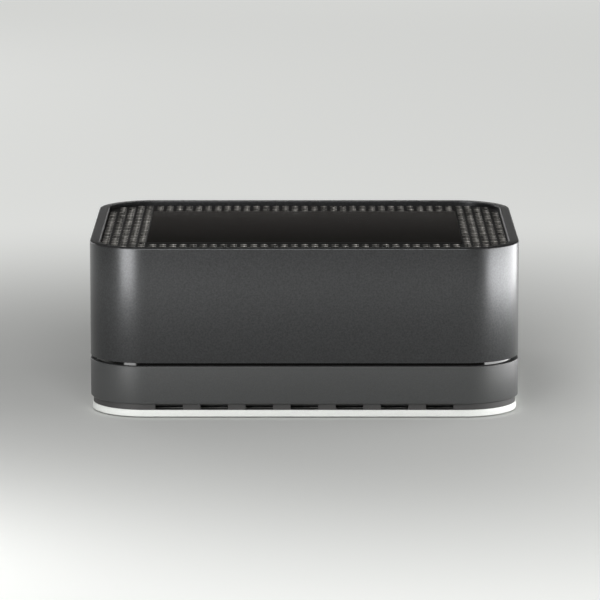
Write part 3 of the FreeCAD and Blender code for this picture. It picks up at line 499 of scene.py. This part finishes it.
sleeve_profile = [(SLEEVE_BORE, sleeve_root), (neck_r, sleeve_root), (neck_r, panel_high.y),
                  (WASHER_R, panel_high.y), (WASHER_R, washer_face), (SLEEVE_R, washer_face),
                  (SLEEVE_R, sleeve_end - SLEEVE_EDGE), (SLEEVE_R - SLEEVE_EDGE, sleeve_end),
                  (SLEEVE_BORE + SLEEVE_EDGE, sleeve_end), (SLEEVE_BORE, sleeve_end - SLEEVE_EDGE)]
contact_profile = [(CONTACT_R, sleeve_root), (CORE_BORE, sleeve_root), (CORE_BORE, contact_end),
                   (CONTACT_R, contact_end)]
core_profile = [(CORE_BORE, sleeve_root), (CORE_R, sleeve_root), (CORE_R, core_end),
                (CORE_BORE + CORE_EASE, core_end), (CORE_BORE, core_end - CORE_EASE)]
sleeves = bmesh.new()
cores = bmesh.new()
for x, dye in ((sleeve_low.x + SLEEVE_R, 1), (sleeve_high.x - SLEEVE_R, 0)):
    turned(sleeves, sleeve_profile, x, sleeve_z)
    turned(sleeves, contact_profile, x, sleeve_z)
    before = set(cores.faces)
    turned(cores, core_profile, x, sleeve_z)
    for face in set(cores.faces) - before:
        face.material_index = dye
sleeves = made_object(sleeves, "phono_sleeve_pair", gold)
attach(sleeves, "case")
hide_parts("phono_sleeves")
cores = made_object(cores, "phono_core_pair", natural_nylon)
cores.data.materials.append(red_nylon)
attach(cores, "case")
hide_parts("phono_cores")

# Line jack: a round nickel-plated nut holds its nose in the panel, and a plated liner stands
# in its bore. Both are turned.
NUT_R = 4.1 * MM
NUT_T = 1.0 * MM
NUT_EDGE = 0.2 * MM
NOSE_R = 3.0 * MM
LINER_R = 2.35 * MM
LINER_BORE = 1.75 * MM
LINER_LEN = 3.0 * MM
LINER_PROUD = 0.1 * MM
jack_low, jack_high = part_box("line_jack")
jack_x = (jack_low.x + jack_high.x) / 2
jack_z = (jack_low.z + jack_high.z) / 2
nut_face = panel_high.y + NUT_T
liner_root = jack_high.y - LINER_LEN
liner_end = jack_high.y + LINER_PROUD
bm = bmesh.new()
turned(bm, [(NOSE_R, panel_high.y), (NUT_R, panel_high.y), (NUT_R, nut_face - NUT_EDGE),
            (NUT_R - NUT_EDGE, nut_face), (NOSE_R, nut_face)], jack_x, jack_z)
turned(bm, [(LINER_BORE, liner_root), (LINER_R, liner_root), (LINER_R, liner_end),
            (LINER_BORE + NUT_EDGE, liner_end), (LINER_BORE, liner_end - NUT_EDGE)], jack_x, jack_z)
nut = made_object(bm, "jack_nut", nickel)
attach(nut, "case")

# Mains inlet: a moulded body behind a lip with eased edges, and a deep rounded recess round
# two nickel-plated pins with domed tips.
INLET_ROUND = 1.4 * MM
INLET_STEPS = 5
INLET_EASE = 0.35 * MM
INLET_LIP = 2.2 * MM
RECESS = Vector((8.0, 4.2)) * MM
RECESS_ROUND = 4.1 * MM
RECESS_STEPS = 10
RECESS_LEN = 13.0 * MM
PIN_R = 1.2 * MM
PIN_TAIL_R = 0.5 * MM
PIN_DOME = 0.8 * MM
# Points along the dome: shares of the pin's radius, and shares of the dome's height down from
# its tip.
PIN_TIP = ((1.0, 1.0), (0.8, 0.3), (0.4, 0.0), (0.0, 0.0))
inlet_low, inlet_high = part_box("mains_inlet")
pin_low, pin_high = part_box("inlet_pins")
inlet_x = (inlet_low.x + inlet_high.x) / 2
inlet_z = (inlet_low.z + inlet_high.z) / 2
lip_half = Vector(((inlet_high.x - inlet_low.x) / 2, (inlet_high.z - inlet_low.z) / 2))
lip_face = inlet_high.y
lip_side = lip_face - INLET_EASE
recess_floor = lip_face - RECESS_LEN


def verts_of(edges):
    """The vertices at the ends of some edges, each once."""
    return list(dict.fromkeys(v for e in edges for v in e.verts))


def upright_loop(bm, half_x, half_z, radius, place, steps):
    """Closed loop of edges that stands upright and faces the back, with rounded corners."""
    loop = corner_loop(bm, half_x, half_z, radius, 0.0, steps)
    verts = verts_of(loop)
    upright = Matrix.Rotation(math.radians(90), 3, "X")
    bmesh.ops.rotate(bm, cent=(0.0, 0.0, 0.0), matrix=upright, verts=verts)
    bmesh.ops.translate(bm, vec=place, verts=verts)
    return loop


bm = bmesh.new()
front = upright_loop(bm, lip_half.x - INLET_EASE, lip_half.y - INLET_EASE, INLET_ROUND - INLET_EASE,
                     (inlet_x, lip_face, inlet_z), INLET_STEPS)
eased = upright_loop(bm, lip_half.x, lip_half.y, INLET_ROUND, (inlet_x, lip_side, inlet_z), INLET_STEPS)
bmesh.ops.bridge_loops(bm, edges=front + eased)
rear = drawn_on(bm, eased, (0.0, panel_high.y - lip_side, 0.0))
body = drawn_on(bm, rear)
bmesh.ops.scale(bm, vec=(1 - INLET_LIP / lip_half.x, 1.0, 1 - INLET_LIP / lip_half.y),
                space=Matrix.Translation((-inlet_x, 0.0, -inlet_z)), verts=verts_of(body))
bmesh.ops.edgeloop_fill(bm, edges=drawn_on(bm, body, (0.0, inlet_low.y - panel_high.y, 0.0)))
wide = upright_loop(bm, RECESS.x + INLET_EASE, RECESS.y + INLET_EASE, RECESS_ROUND + INLET_EASE,
                    (inlet_x, lip_face, inlet_z), RECESS_STEPS)
bmesh.ops.triangle_fill(bm, edges=front + wide, use_beauty=True, normal=(0.0, 1.0, 0.0))
recess = upright_loop(bm, RECESS.x, RECESS.y, RECESS_ROUND, (inlet_x, lip_side, inlet_z), RECESS_STEPS)
bmesh.ops.bridge_loops(bm, edges=wide + recess)
bmesh.ops.edgeloop_fill(bm, edges=drawn_on(bm, recess, (0.0, recess_floor - lip_side, 0.0)))
inlet = made_object(bm, "inlet_moulding", socket_pbt)
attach(inlet, "case")
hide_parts("mains_inlet")
pin_profile = [(0.0, pin_low.y), (PIN_TAIL_R, pin_low.y), (PIN_TAIL_R, recess_floor), (PIN_R, recess_floor)]
pin_profile += [(width * PIN_R, pin_high.y - fall * PIN_DOME) for width, fall in PIN_TIP]
bm = bmesh.new()
for x in (pin_low.x + PIN_R, pin_high.x - PIN_R):
    turned(bm, pin_profile, x, inlet_z)
pins = made_object(bm, "inlet_pin_pair", nickel)
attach(pins, "case")
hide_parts("inlet_pins")

# Network lamps: two small unlit windows of clear plastic, one tinted green and one amber, in
# the upper corners of the network socket. They stand a little proud of its face.
LAMP_HALF = Vector((1.4, 0.75)) * MM
LAMP_ROUND = 0.25 * MM
LAMP_STEPS = 3
LAMP_REACH = 5.0 * MM
LAMP_DROP = 1.7 * MM
LAMP_PROUD = 0.15 * MM
lan_low, lan_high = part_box("network_socket")
# Tinted polycarbonate: a clouded green and a clouded amber with a bright surface.
green_window = grained("green_polycarbonate", shade="#2F7F42", light="#3A9150", grain=1.0 * MM,
                       roughness=0.15, relief=0.002 * MM)
amber_window = grained("amber_polycarbonate", shade="#B07A1E", light="#C48A28", grain=1.0 * MM,
                       roughness=0.15, relief=0.002 * MM)
for name, side, tint in (("network_lamp_left", 1, green_window), ("network_lamp_right", -1, amber_window)):
    lamp_x = (lan_low.x + lan_high.x) / 2 + side * LAMP_REACH
    bm = bmesh.new()
    edge = upright_loop(bm, LAMP_HALF.x, LAMP_HALF.y, LAMP_ROUND,
                        (lamp_x, lan_high.y, lan_high.z - LAMP_DROP), LAMP_STEPS)
    bmesh.ops.edgeloop_fill(bm, edges=drawn_on(bm, edge, (0.0, LAMP_PROUD, 0.0)))
    lamp = made_object(bm, name, tint)
    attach(lamp, "case")

# Upper housing: the tall moulded shell. Its rim stands proud of the grille, a ledge inside
# carries the grille sheet, and the bay opens in its back. Its posts for the case screws stand
# out of sight, and aren't drawn.
WALL = 2.5 * MM
RIM_W = 5.3 * MM
RIM_EDGE = 0.5 * MM
RIM_CHAMFER = 0.5 * MM
LEDGE_W = 3.3 * MM
LEDGE_T = 2.2 * MM
FOOT_EDGE = 0.3 * MM
BAY_LIP = 1.6 * MM
BAY_ROUND = 4.0 * MM
BAY_STEPS = 8
BAY_EDGE = 0.4 * MM
BAY_EDGE_STEPS = 3
housing_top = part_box("upper_housing")[1].z
grille_low, grille_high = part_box("top_grille")
ledge_z = grille_low.z
ledge_inner = RIM_W + LEDGE_W
bay_half = Vector((panel_high.x - BAY_LIP, (panel_high.z - panel_low.z) / 2 - BAY_LIP))
bay_mid = (panel_high.z + panel_low.z) / 2
# Satin lacquer with fine aluminium flake over ABS. It reads as dark grey with a scatter of
# lighter specks, and its sheen gathers in the rounded corners. The flakes are drawn coarser
# than they are, so that they show.
housing_lacquer = grained("satin_flake_lacquer", shade="#49494A", light="#575859", grain=0.9 * MM,
                          roughness=0.32, relief=0.006 * MM, flake=0.9)
bm = bmesh.new()
loops = swept(bm, [(0.0, gap_top), (0.0, housing_top), (RIM_W - RIM_CHAMFER, housing_top),
                   (RIM_W, housing_top - RIM_CHAMFER), (RIM_W, ledge_z), (ledge_inner, ledge_z),
                   (ledge_inner, ledge_z - LEDGE_T), (WALL, ledge_z - LEDGE_T), (WALL, gap_top)])
bmesh.ops.bridge_loops(bm, edges=loops[-1] + loops[0])
rolled(bm, loops[0], FOOT_EDGE, segments=2)
rolled(bm, loops[1], RIM_EDGE, segments=4)
held_flat(bm)
rims = []
for reach, grow in ((case_high.y, BAY_EDGE), (case_high.y - WALL, 0.0)):
    face = max(wall_faces(bm, 1, reach), key=lambda f: f.calc_area())
    border = list(face.edges)
    bmesh.ops.delete(bm, geom=[face], context="FACES_ONLY")
    rim = upright_loop(bm, bay_half.x + grow, bay_half.y + grow, BAY_ROUND + grow,
                       (0.0, reach, bay_mid), BAY_STEPS)
    bmesh.ops.triangle_fill(bm, edges=border + rim, use_beauty=True, normal=(0.0, 1.0, 0.0))
    rims.append(rim)
# The bay's outer edge goes inwards round a quarter turn.
bay_edge = rims[0]
turns = [math.radians(90 * i / BAY_EDGE_STEPS) for i in range(BAY_EDGE_STEPS + 1)]
for last, turn in zip(turns, turns[1:]):
    bay_edge = drawn_on(bm, bay_edge, (0.0, BAY_EDGE * (math.cos(turn) - math.cos(last)), 0.0))
    arm = BAY_ROUND + BAY_EDGE * (1 - math.sin(turn))
    for vert in verts_of(bay_edge):
        centre = Vector((math.copysign(bay_half.x - BAY_ROUND, vert.co.x),
                         bay_mid + math.copysign(bay_half.y - BAY_ROUND, vert.co.z - bay_mid)))
        vert.co.x, vert.co.z = centre + (vert.co.xz - centre).normalized() * arm
bmesh.ops.bridge_loops(bm, edges=bay_edge + rims[1])
housing = made_object(bm, "housing_shell", housing_lacquer)
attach(housing, "case")
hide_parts("upper_housing")

# Top grille: one sheet of perforated steel, powder-painted, that lies on the ledge inside the
# rim, with a shallow tray pressed into it for the touch glass.
HOLE_R = 1.6 * MM
HOLE_CHAMFER = 0.24 * MM
HOLE_SIDES = 14
HOLE_MARGIN = 0.6 * MM
COLUMNS = [83.6 * MM, 88.3 * MM, 93.0 * MM, 97.6 * MM, 102.3 * MM]
COLUMN_PITCH = 5.2 * MM
ROWS = [57.2 * MM, 62.4 * MM, 67.6 * MM, 72.8 * MM]
ROW_PITCH = 5.19 * MM
TRAY_ROUND = 1.65 * MM
TRAY_STEPS = 6
TRAY_FIT = 0.15 * MM
WINDOW_FIT = 1.0 * MM
grille_inset = case_high.x - grille_high.x
grille_t = grille_high.z - grille_low.z
glass_low, glass_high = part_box("touch_glass")
sensor_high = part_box("sensor_board")[1]
tray_half = Vector((glass_high.x + TRAY_FIT, glass_high.y + TRAY_FIT))
window_half = Vector((sensor_high.x + WINDOW_FIT, sensor_high.y + WINDOW_FIT))
# Powder paint over steel: a dull black with a slight orange peel.
grille_paint = grained("black_powder_paint", shade="#131312", light="#1B1A19", grain=0.5 * MM,
                       roughness=0.6, relief=0.03 * MM, level=0.25)
# Hole edges: the chamfers turn pale steel grey in random patches, a painted highlight for the bright arcs
# of light on the holes' edges. Being metallic, they also catch the lamps.
glint_edge = grained("steel_edge_painted_glints", shade="#1A1918", light="#CFCCC6", grain=4.0 * MM,
                    roughness=0.34, relief=0.02 * MM, flake=0.75)


def hole_places():
    """Centres of the round holes: columns down both sides of the glass, and rows in front of
    it and behind it, as far as the rounded corners leave room."""
    count = int(case_high.y / COLUMN_PITCH)
    places = []
    for i in range(-count, count + 1):
        for x in COLUMNS:
            places += [(x, i * COLUMN_PITCH), (-x, i * COLUMN_PITCH)]
    count = int((COLUMNS[0] - ROW_PITCH / 2) / ROW_PITCH)
    for y in ROWS:
        for i in range(-count, count + 1):
            places += [(i * ROW_PITCH, y), (i * ROW_PITCH, -y)]
    room = CORNER_R - RIM_W - HOLE_R - HOLE_MARGIN
    kept = []
    for x, y in places:
        past_corner = Vector((max(abs(x) - CORNER.x, 0.0), max(abs(y) - CORNER.y, 0.0)))
        if past_corner.length <= room:
            kept.append((x, y))
    return kept


bm = bmesh.new()
outer = corner_loop(bm, case_high.x - grille_inset, case_high.y - grille_inset, CORNER_R - grille_inset,
                    grille_high.z, CORNER_STEPS)
outer_low = drawn_on(bm, outer, (0.0, 0.0, -grille_t))
tray = corner_loop(bm, tray_half.x, tray_half.y, TRAY_ROUND, grille_high.z, TRAY_STEPS)
tray_floor = drawn_on(bm, tray, (0.0, 0.0, glass_low.z - grille_high.z))
window = drawn_on(bm, tray_floor)
bmesh.ops.scale(bm, vec=(window_half.x / tray_half.x, window_half.y / tray_half.y, 1.0),
                verts=verts_of(window))
window_low = drawn_on(bm, window, (0.0, 0.0, grille_low.z - glass_low.z))
mouths = []
throats = []
for x, y in hole_places():
    centre = Matrix.Translation((x, y, grille_high.z - HOLE_CHAMFER / 2))
    cone = bmesh.ops.create_cone(bm, cap_ends=False, segments=HOLE_SIDES, radius1=HOLE_R,
                                 radius2=HOLE_R + HOLE_CHAMFER, depth=HOLE_CHAMFER, matrix=centre)["verts"]
    for edge in dict.fromkeys(e for v in cone for e in v.link_edges):
        heights = [v.co.z for v in edge.verts]
        if min(heights) > grille_high.z - NEAR:
            mouths.append(edge)
        elif max(heights) < grille_high.z - NEAR:
            throats.append(edge)
# The chamfers at the holes' mouths take the pale edge finish, whose patches are painted highlights.
for edge in mouths:
    for face in edge.link_faces:
        face.material_index = 1
throats = drawn_on(bm, throats, (0.0, 0.0, HOLE_CHAMFER - grille_t))
bmesh.ops.triangle_fill(bm, edges=outer + tray + mouths, use_beauty=True, normal=AXES[2])
bmesh.ops.triangle_fill(bm, edges=outer_low + window_low + throats, use_beauty=True, normal=-AXES[2])
grille = made_object(bm, "perforated_sheet", grille_paint)
grille.data.materials.append(glint_edge)
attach(grille, "case")
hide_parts("top_grille")

# Touch glass: a slab of tempered glass, printed black behind, with ground edges. It lies
# in the tray of the grille and stands a little proud of it.
GLASS_ROUND = 1.5 * MM
GLASS_STEPS = 6
GLASS_EDGE = 0.25 * MM
SMEAR = 30.0 * MM
# The top and the underside are the faces whose normals keep this share along Z.
UPRIGHT = 0.999
# The crown falls by this times the square of the way from the middle, in metres. That is too
# slight to model: the glass leans by one degree at its front and back edges.
CROWN = 0.2
# Polished glass over black print: a deep, warm black under a clear reflection. Tempering
# leaves it a touch crowned, which makes what it mirrors fade from the back to the front.
black_glass, tree, shader = finish_named("tempered_glass_black_print")
place = add(tree, "TexCoord", {}).outputs["Object"]
film = add(tree, "TexNoise", {"Vector": place, "Scale": 1 / SMEAR, "Detail": 4.0, "Roughness": 0.7})
tone = add(tree, "MixRGB", {"Fac": film.outputs["Fac"], "Color1": linear("#0D0C0B"),
                            "Color2": linear("#100F0E")})
smear = add(tree, "MapRange", {"Value": film.outputs["Fac"], "To Min": 0.04, "To Max": 0.09})
across = add(tree, "SeparateXYZ", {"Vector": place}).outputs["Y"]
square = add(tree, "Math", {0: across, 1: across}, operation="MULTIPLY").outputs["Value"]
crown = add(tree, "Bump", {"Height": square, "Strength": 1.0, "Distance": CROWN}, invert=True)
feed(tree, shader, {"Base Color": tone.outputs["Color"], "Roughness": smear.outputs["Result"],
                    "IOR": PLAIN_IOR, "Normal": crown.outputs["Normal"]})
# Ground and inked glass: the edges stay dull and black.
ground_edge = grained("ground_inked_edge", shade="#0E0D0C", light="#141312", grain=0.4 * MM,
                      roughness=0.6, relief=0.01 * MM, level=0.3)
bm = bmesh.new()
lower = corner_loop(bm, glass_high.x, glass_high.y, GLASS_ROUND, glass_low.z, GLASS_STEPS)
upper = drawn_on(bm, lower, (0.0, 0.0, glass_high.z - glass_low.z))
bmesh.ops.edgeloop_fill(bm, edges=lower)
bmesh.ops.edgeloop_fill(bm, edges=upper)
rolled(bm, upper, GLASS_EDGE, segments=2)
for face in bm.faces:
    if abs(face.normal.z) < UPRIGHT:
        face.material_index = 1
glass = made_object(bm, "touch_panel", black_glass, crease=20.0)
glass.data.materials.append(ground_edge)
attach(glass, "case")
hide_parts("touch_glass")

# Studio floor: plain pale paper, which isn't part of the object. Near the object the lamps
# light it and it takes the shadow, and far off it stays evenly pale.
FLOOR_HALF = 30.0
FIBRE = 4.0 * MM
# Where the even tone begins and where it is whole, in metres from the object's middle.
FLOOR_NEAR = 0.15
FLOOR_FAR = 0.6
# Matt paper: light grey with a faint fibre. Its far tone is seen and mirrored, but lights
# nothing.
paper, tree, shader = finish_named("paper_floor")
place = add(tree, "TexCoord", {}).outputs["Object"]
fibre = add(tree, "TexNoise", {"Vector": place, "Scale": 1 / FIBRE, "Detail": 3.0})
bump = add(tree, "Bump", {"Height": fibre.outputs["Fac"], "Strength": 0.05, "Distance": 0.05 * MM})
away = add(tree, "VectorMath", {0: place}, operation="LENGTH").outputs["Value"]
far = add(tree, "MapRange", {"Value": away, "From Min": FLOOR_NEAR, "From Max": FLOOR_FAR},
          interpolation_type="SMOOTHSTEP")
path = add(tree, "LightPath", {})
seen = path.outputs["Is Camera Ray"]
for ray in ("Is Glossy Ray", "Is Transmission Ray"):
    seen = add(tree, "Math", {0: seen, 1: path.outputs[ray]}, operation="MAXIMUM").outputs["Value"]
glow = add(tree, "Math", {0: far.outputs["Result"], 1: seen}, operation="MULTIPLY")
feed(tree, shader, {"Base Color": linear("#C8C9C7"), "Roughness": 0.9, "Specular IOR Level": 0.2,
                    "Normal": bump.outputs["Normal"], "Emission Color": linear("#B5B6B4"),
                    "Emission Strength": glow.outputs["Value"]})
bm = bmesh.new()
bmesh.ops.create_grid(bm, x_segments=1, y_segments=1, size=FLOOR_HALF)
ground = made_object(bm, "ground", paper)

# Lamps: a wide soft light from above and six softboxes. Two low ones stand close by on the
# left and right and draw the bright lines down the corners, and a long one lies far behind
# for the glass to mirror.
SUN_SPREAD = 110.0
AIM = Vector((0.0, 0.0, 0.045))
sun = bpy.data.objects.new("overhead_softbox", bpy.data.lights.new("overhead_softbox", "SUN"))
sun.data.energy = 0.5
sun.data.angle = math.radians(SUN_SPREAD)
bpy.context.scene.collection.objects.link(sun)


def softbox(name, azimuth, elevation, distance, width, height, power):
    """Area lamp aimed at the case: azimuth 0 is in front, and grows to the right."""
    lamp = bpy.data.lights.new(name, "AREA")
    lamp.shape = "RECTANGLE"
    lamp.size = width
    lamp.size_y = height
    lamp.energy = power
    light = bpy.data.objects.new(name, lamp)
    a = math.radians(azimuth)
    e = math.radians(elevation)
    towards = Vector((math.sin(a) * math.cos(e), -math.cos(a) * math.cos(e), math.sin(e)))
    light.location = towards * distance + AIM
    light.rotation_euler = towards.to_track_quat("Z", "Y").to_euler()
    light.visible_camera = False
    bpy.context.scene.collection.objects.link(light)


softbox("left_softbox", azimuth=-39.5, elevation=5.0, distance=0.52, width=0.2, height=0.18, power=0.77)
softbox("right_softbox", azimuth=88.5, elevation=0.5, distance=0.36, width=0.56, height=0.09, power=1.36)
softbox("front_softbox", azimuth=-6.0, elevation=33.0, distance=1.2, width=0.8, height=0.6, power=6.4)
softbox("top_softbox", azimuth=-72.0, elevation=72.0, distance=1.0, width=0.5, height=0.4, power=1.1)
softbox("rear_softbox", azimuth=-145.0, elevation=14.0, distance=1.8, width=0.7, height=0.8, power=4.0)
softbox("horizon_softbox", azimuth=180.0, elevation=3.6, distance=2.5, width=2.2, height=0.14, power=2.1)

# Studio walls: dim and warm grey, lighter along the horizon than higher up. They light the
# object a little from all round.
world = bpy.data.worlds.new("dim_studio")
world.use_nodes = True
walls = world.node_tree
height = add(walls, "SeparateXYZ", {"Vector": add(walls, "TexCoord", {}).outputs["Generated"]}).outputs["Z"]
fade = add(walls, "MapRange", {"Value": height, "From Min": 0.08, "From Max": 0.22},
           interpolation_type="SMOOTHSTEP")
dusk = add(walls, "MixRGB", {"Fac": fade.outputs["Result"], "Color1": linear("#474543"),
                             "Color2": linear("#292826")})
feed(walls, walls.nodes["Background"], {"Color": dusk.outputs["Color"], "Strength": 1.0})
bpy.context.scene.world = world
bpy.context.scene.view_settings.view_transform = "Standard"

# Camera: a long lens straight in front, more than two metres away. It looks down on the lid
# by ten degrees, and a small shift frames the object.
LENS = 257.69
SENSOR = 36.0
CAMERA_SHIFT = (-0.0073, -0.0017)
CAMERA_PLACE = (0.0, -2.22907, 0.43603)
CAMERA_PITCH = 9.894
camera = bpy.data.objects.new("camera", bpy.data.cameras.new("camera"))
camera.data.lens = LENS
camera.data.sensor_width = SENSOR
camera.data.shift_x, camera.data.shift_y = CAMERA_SHIFT
camera.location = CAMERA_PLACE
camera.rotation_euler = (math.radians(90.0 - CAMERA_PITCH), 0.0, 0.0)
bpy.context.scene.collection.objects.link(camera)
bpy.context.scene.camera = camera
